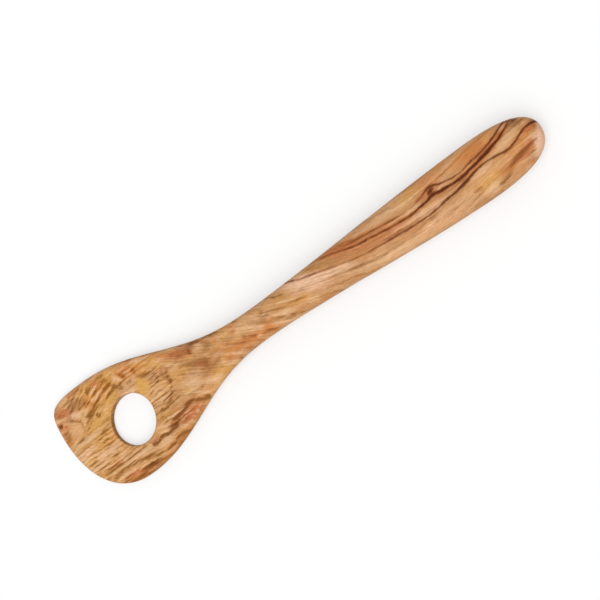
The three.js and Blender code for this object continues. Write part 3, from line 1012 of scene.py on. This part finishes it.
    def stain(self):
        """Turns the tone into dark lines, pale lines and the darkest ones."""
        look = self.look
        deepened = self.vector("MULTIPLY", self.colour, DEEPENING)
        dark = self.blend(DEEPENED_SHARE, look.umber, deepened)
        for limits, colour in ((DARK_TONE, dark), (PALE_TONE, look.pale), (VEIN_TONE, look.vein)):
            self.paint(self.ease(self.tone, *limits), colour)

    def tint_edges(self):
        """The end grain of the head drinks more oil, most of all at the front; the head's side walls
        and the wall of the hole get painted shade, and the end of the butt a painted highlight.
        """
        normal = self.source.outputs["Normal"]
        along, _, upright = self.split(self.vector("ABSOLUTE", normal))
        # End grain that soaks up oil, and painted shade on the side walls of the head and the wall of
        # the hole.
        soaked_and_shaded = self.math("MAXIMUM", self.ease(along, *END_GRAIN), self.ease(upright, *SHADED_WALLS))
        self.paint(self.math("MULTIPLY", soaked_and_shaded, self.head), self.look.umber)
        # Painted highlight: the butt's end is painted rose on the faces that turn to the lit side.
        painted_highlight = self.ease(self.vector("DOT_PRODUCT", normal, LIT_SIDE), *LIT_FACING)
        butt = self.ease(self.station, *BUTT)
        self.paint(self.math("MULTIPLY", painted_highlight, butt), self.look.rose)

    def paint_veins(self):
        """The long veins of the handle: rusty wood beside a core that is darker where it is wider."""
        look = self.look
        tremble = self.split(self.stir(self.place, VEIN_WANDER))[1]
        shake = self.total((self.quick_side, VEIN_CURL), (tremble, VEIN_TREMBLE))
        side = self.math("ADD", self.across, shake)
        fray = self.ease(self.noise(self.place, VEIN_FRAY, FIBRE_DETAIL), *FRAYED_WIDTH)
        for rows, halo_strength, core_strength in VEINS:
            path = self.along_curve(rows, 1, VEIN_REACH)
            half = self.math("MULTIPLY", self.along_curve(rows, 2, VEIN_WIDTH_REACH), fray)
            masks = self.group(self.vein_tree, Across=side, Path=path, Half_Width=half)
            core = self.blend(self.ease(half, *VEIN_DARKNESS), look.umber, look.vein)
            self.paint(self.math("MULTIPLY", masks["Halo"], halo_strength), look.rust)
            self.paint(self.math("MULTIPLY", masks["Core"], core_strength), core)

    def fleck(self):
        """Short fibres, a little lighter or darker."""
        flecks = self.noise(self.handle_run, FLECKS, FIBRE_DETAIL)
        shade = self.ease(flecks, *FLECK_SHADE)
        self.colour = self.vector("MULTIPLY", self.colour, shade)

    def finish(self):
        """Satin of oiled wood with fibres that stand up a little."""
        look = self.look
        fibres = self.noise(self.handle_run, FIBRES, FIBRE_DETAIL)
        dull = look.roughness + SHINE_SPREAD
        shiny = look.roughness - SHINE_SPREAD
        relief = self.node("ShaderNodeBump")
        self.feed(relief.inputs["Distance"], look.fibre_depth)
        self.feed(relief.inputs["Height"], fibres)
        surface = self.node("ShaderNodeBsdfPrincipled")
        self.feed(surface.inputs["Base Color"], self.colour)
        self.feed(surface.inputs["Roughness"], self.ease(fibres, *FIBRE_SHINE, dull, shiny))
        self.feed(surface.inputs["Specular IOR Level"], look.gloss)
        self.feed(surface.inputs["Normal"], relief.outputs[0])
        output = self.node("ShaderNodeOutputMaterial")
        self.feed(output.inputs["Surface"], surface.outputs[0])


def sand_by_hand(mesh, carving):
    """Moves the points over the seat a little along their normals, as sanding by hand leaves a face."""
    mesh.normal_update()
    for point in mesh.verts:
        if point.co.z > CAD_LOW.z + carving.seat:
            swell = noise.noise(point.co / carving.wander)
            point.co += point.normal * swell * carving.unevenness


def new_object(name, mesh, material):
    """An object of the scene made from a finished bmesh."""
    shape = bpy.data.meshes.new(name)
    mesh.to_mesh(shape)
    mesh.free()
    shape.materials.append(material)
    made = bpy.data.objects.new(name, shape)
    bpy.context.scene.collection.objects.link(made)
    return made


class SPOON_OT_carve_body(bpy.types.Operator):
    """Make the spoon from a welded copy of the carved solid and give it its olive wood"""

    bl_idname = "spoon.carve_body"
    bl_label = "Carve the spoon"
    bl_options = {"REGISTER", "UNDO"}

    def execute(self, context):
        carving = context.scene.spoon_carving
        mesh = bmesh.new()
        mesh.from_mesh(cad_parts[CAD_NODE].data)
        bmesh.ops.remove_doubles(mesh, verts=mesh.verts, dist=carving.weld)
        bmesh.ops.join_triangles(
            mesh, faces=mesh.faces,
            angle_face_threshold=JOIN_FLATNESS, angle_shape_threshold=JOIN_SQUARENESS,
        )
        sand_by_hand(mesh, carving)
        for face in mesh.faces:
            face.smooth = True
        spoon = new_object(PIECE_NAME, mesh, OliveWood(context.scene.spoon_wood).material)
        smooth = spoon.modifiers.new("Smooth", "SUBSURF")
        smooth.levels = carving.smoothing
        smooth.render_levels = carving.smoothing
        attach(spoon, CAD_BODY)
        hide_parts(CAD_NODE)
        return {"FINISHED"}


def direction(azimuth, elevation):
    """Unit vector towards a side and a height; azimuth 0 is the right side of the spoon."""
    level = math.cos(elevation)
    return Vector((math.sin(azimuth) * level, -math.cos(azimuth) * level, math.sin(elevation)))


def seen_directly(wiring):
    """1 for rays of the camera and of mirror images, 0 for light that falls on the object."""
    rays = wiring.node("ShaderNodeLightPath").outputs
    seen = wiring.math("ADD", rays["Is Camera Ray"], rays["Is Glossy Ray"])
    return wiring.math("ADD", seen, rays["Is Transmission Ray"], clamp=True)


def paper_floor(studio):
    """Pale paper that looks white where no shadow falls, and is clear from below."""
    material = bpy.data.materials.new("Paper floor")
    wiring = Wiring(emptied_tree(material))
    glow_colour = [1.0 - part for part in studio.floor_colour]
    paper = wiring.step("ShaderNodeBsdfDiffuse", studio.floor_colour)
    glow = wiring.step("ShaderNodeEmission", glow_colour, seen_directly(wiring))
    lit = wiring.step("ShaderNodeAddShader", paper, glow)
    clear = wiring.step("ShaderNodeBsdfTransparent")
    below = wiring.node("ShaderNodeNewGeometry").outputs["Backfacing"]
    sides = wiring.step("ShaderNodeMixShader", below, lit, clear)
    output = wiring.node("ShaderNodeOutputMaterial")
    wiring.feed(output.inputs["Surface"], sides)
    return material


def white_room(studio):
    """World that shows white and lights evenly from all round."""
    world = bpy.data.worlds.new("White room")
    wiring = Wiring(emptied_tree(world))
    strength = wiring.between(seen_directly(wiring), studio.sky_light, 1.0)
    sky = wiring.step("ShaderNodeBackground", (1.0, 1.0, 1.0), strength)
    output = wiring.node("ShaderNodeOutputWorld")
    wiring.feed(output.inputs["Surface"], sky)
    return world


def aimed_object(name, data, back, roll=0.0):
    """A lamp or a camera whose back looks in a direction."""
    made = bpy.data.objects.new(name, data)
    made.rotation_mode = "QUATERNION"
    made.rotation_quaternion = back.to_track_quat("Z", "Y") @ Quaternion((0.0, 0.0, 1.0), roll)
    bpy.context.scene.collection.objects.link(made)
    return made


class SPOON_OT_set_stage(bpy.types.Operator):
    """Set the pale floor, the soft light and the camera"""

    bl_idname = "spoon.set_stage"
    bl_label = "Set the stage"
    bl_options = {"REGISTER", "UNDO"}

    def execute(self, context):
        scene = context.scene
        studio = scene.spoon_studio
        scene.view_settings.view_transform = "Standard"
        scene.world = white_room(studio)

        mesh = bmesh.new()
        bmesh.ops.create_grid(mesh, x_segments=1, y_segments=1, size=studio.floor_size / 2)
        floor = new_object("floor", mesh, paper_floor(studio))

        lamp = bpy.data.lights.new("soft_lamp", "SUN")
        lamp.energy = studio.lamp_light
        lamp.angle = studio.lamp_spread
        aimed_object("soft_lamp", lamp, direction(studio.lamp_azimuth, studio.lamp_elevation))

        view = bpy.data.cameras.new("camera")
        view.lens = studio.lens
        back = direction(studio.camera_azimuth, studio.camera_elevation)
        camera = aimed_object("camera", view, back, studio.camera_roll)
        camera.location = Vector(studio.aim) + back * studio.camera_distance
        scene.camera = camera
        return {"FINISHED"}


class SPOON_PT_sidebar(bpy.types.Panel):
    """Sidebar of the 3D view with the spoon's sizes and colours"""

    bl_idname = "SPOON_PT_sidebar"
    bl_label = "Risotto spoon"
    bl_space_type = "VIEW_3D"
    bl_region_type = "UI"
    bl_category = "Spoon"

    def draw(self, context):
        scene = context.scene
        parts = (
            (scene.spoon_carving, SPOON_OT_carve_body),
            (scene.spoon_wood, None),
            (scene.spoon_studio, SPOON_OT_set_stage),
        )
        for settings, operator in parts:
            box = self.layout.box()
            for name in settings.__annotations__:
                box.prop(settings, name)
            if operator:
                box.operator(operator.bl_idname)


CLASSES = (
    SpoonWood,
    SpoonCarving,
    SpoonStudio,
    SPOON_OT_carve_body,
    SPOON_OT_set_stage,
    SPOON_PT_sidebar,
)


def register():
    for each in CLASSES:
        bpy.utils.register_class(each)
    bpy.types.Scene.spoon_wood = PointerProperty(type=SpoonWood)
    bpy.types.Scene.spoon_carving = PointerProperty(type=SpoonCarving)
    bpy.types.Scene.spoon_studio = PointerProperty(type=SpoonStudio)


def unregister():
    del bpy.types.Scene.spoon_studio
    del bpy.types.Scene.spoon_carving
    del bpy.types.Scene.spoon_wood
    for each in reversed(CLASSES):
        bpy.utils.unregister_class(each)


def main():
    register()
    bpy.ops.spoon.carve_body()
    bpy.ops.spoon.set_stage()


if __name__ == "__main__":
    main()
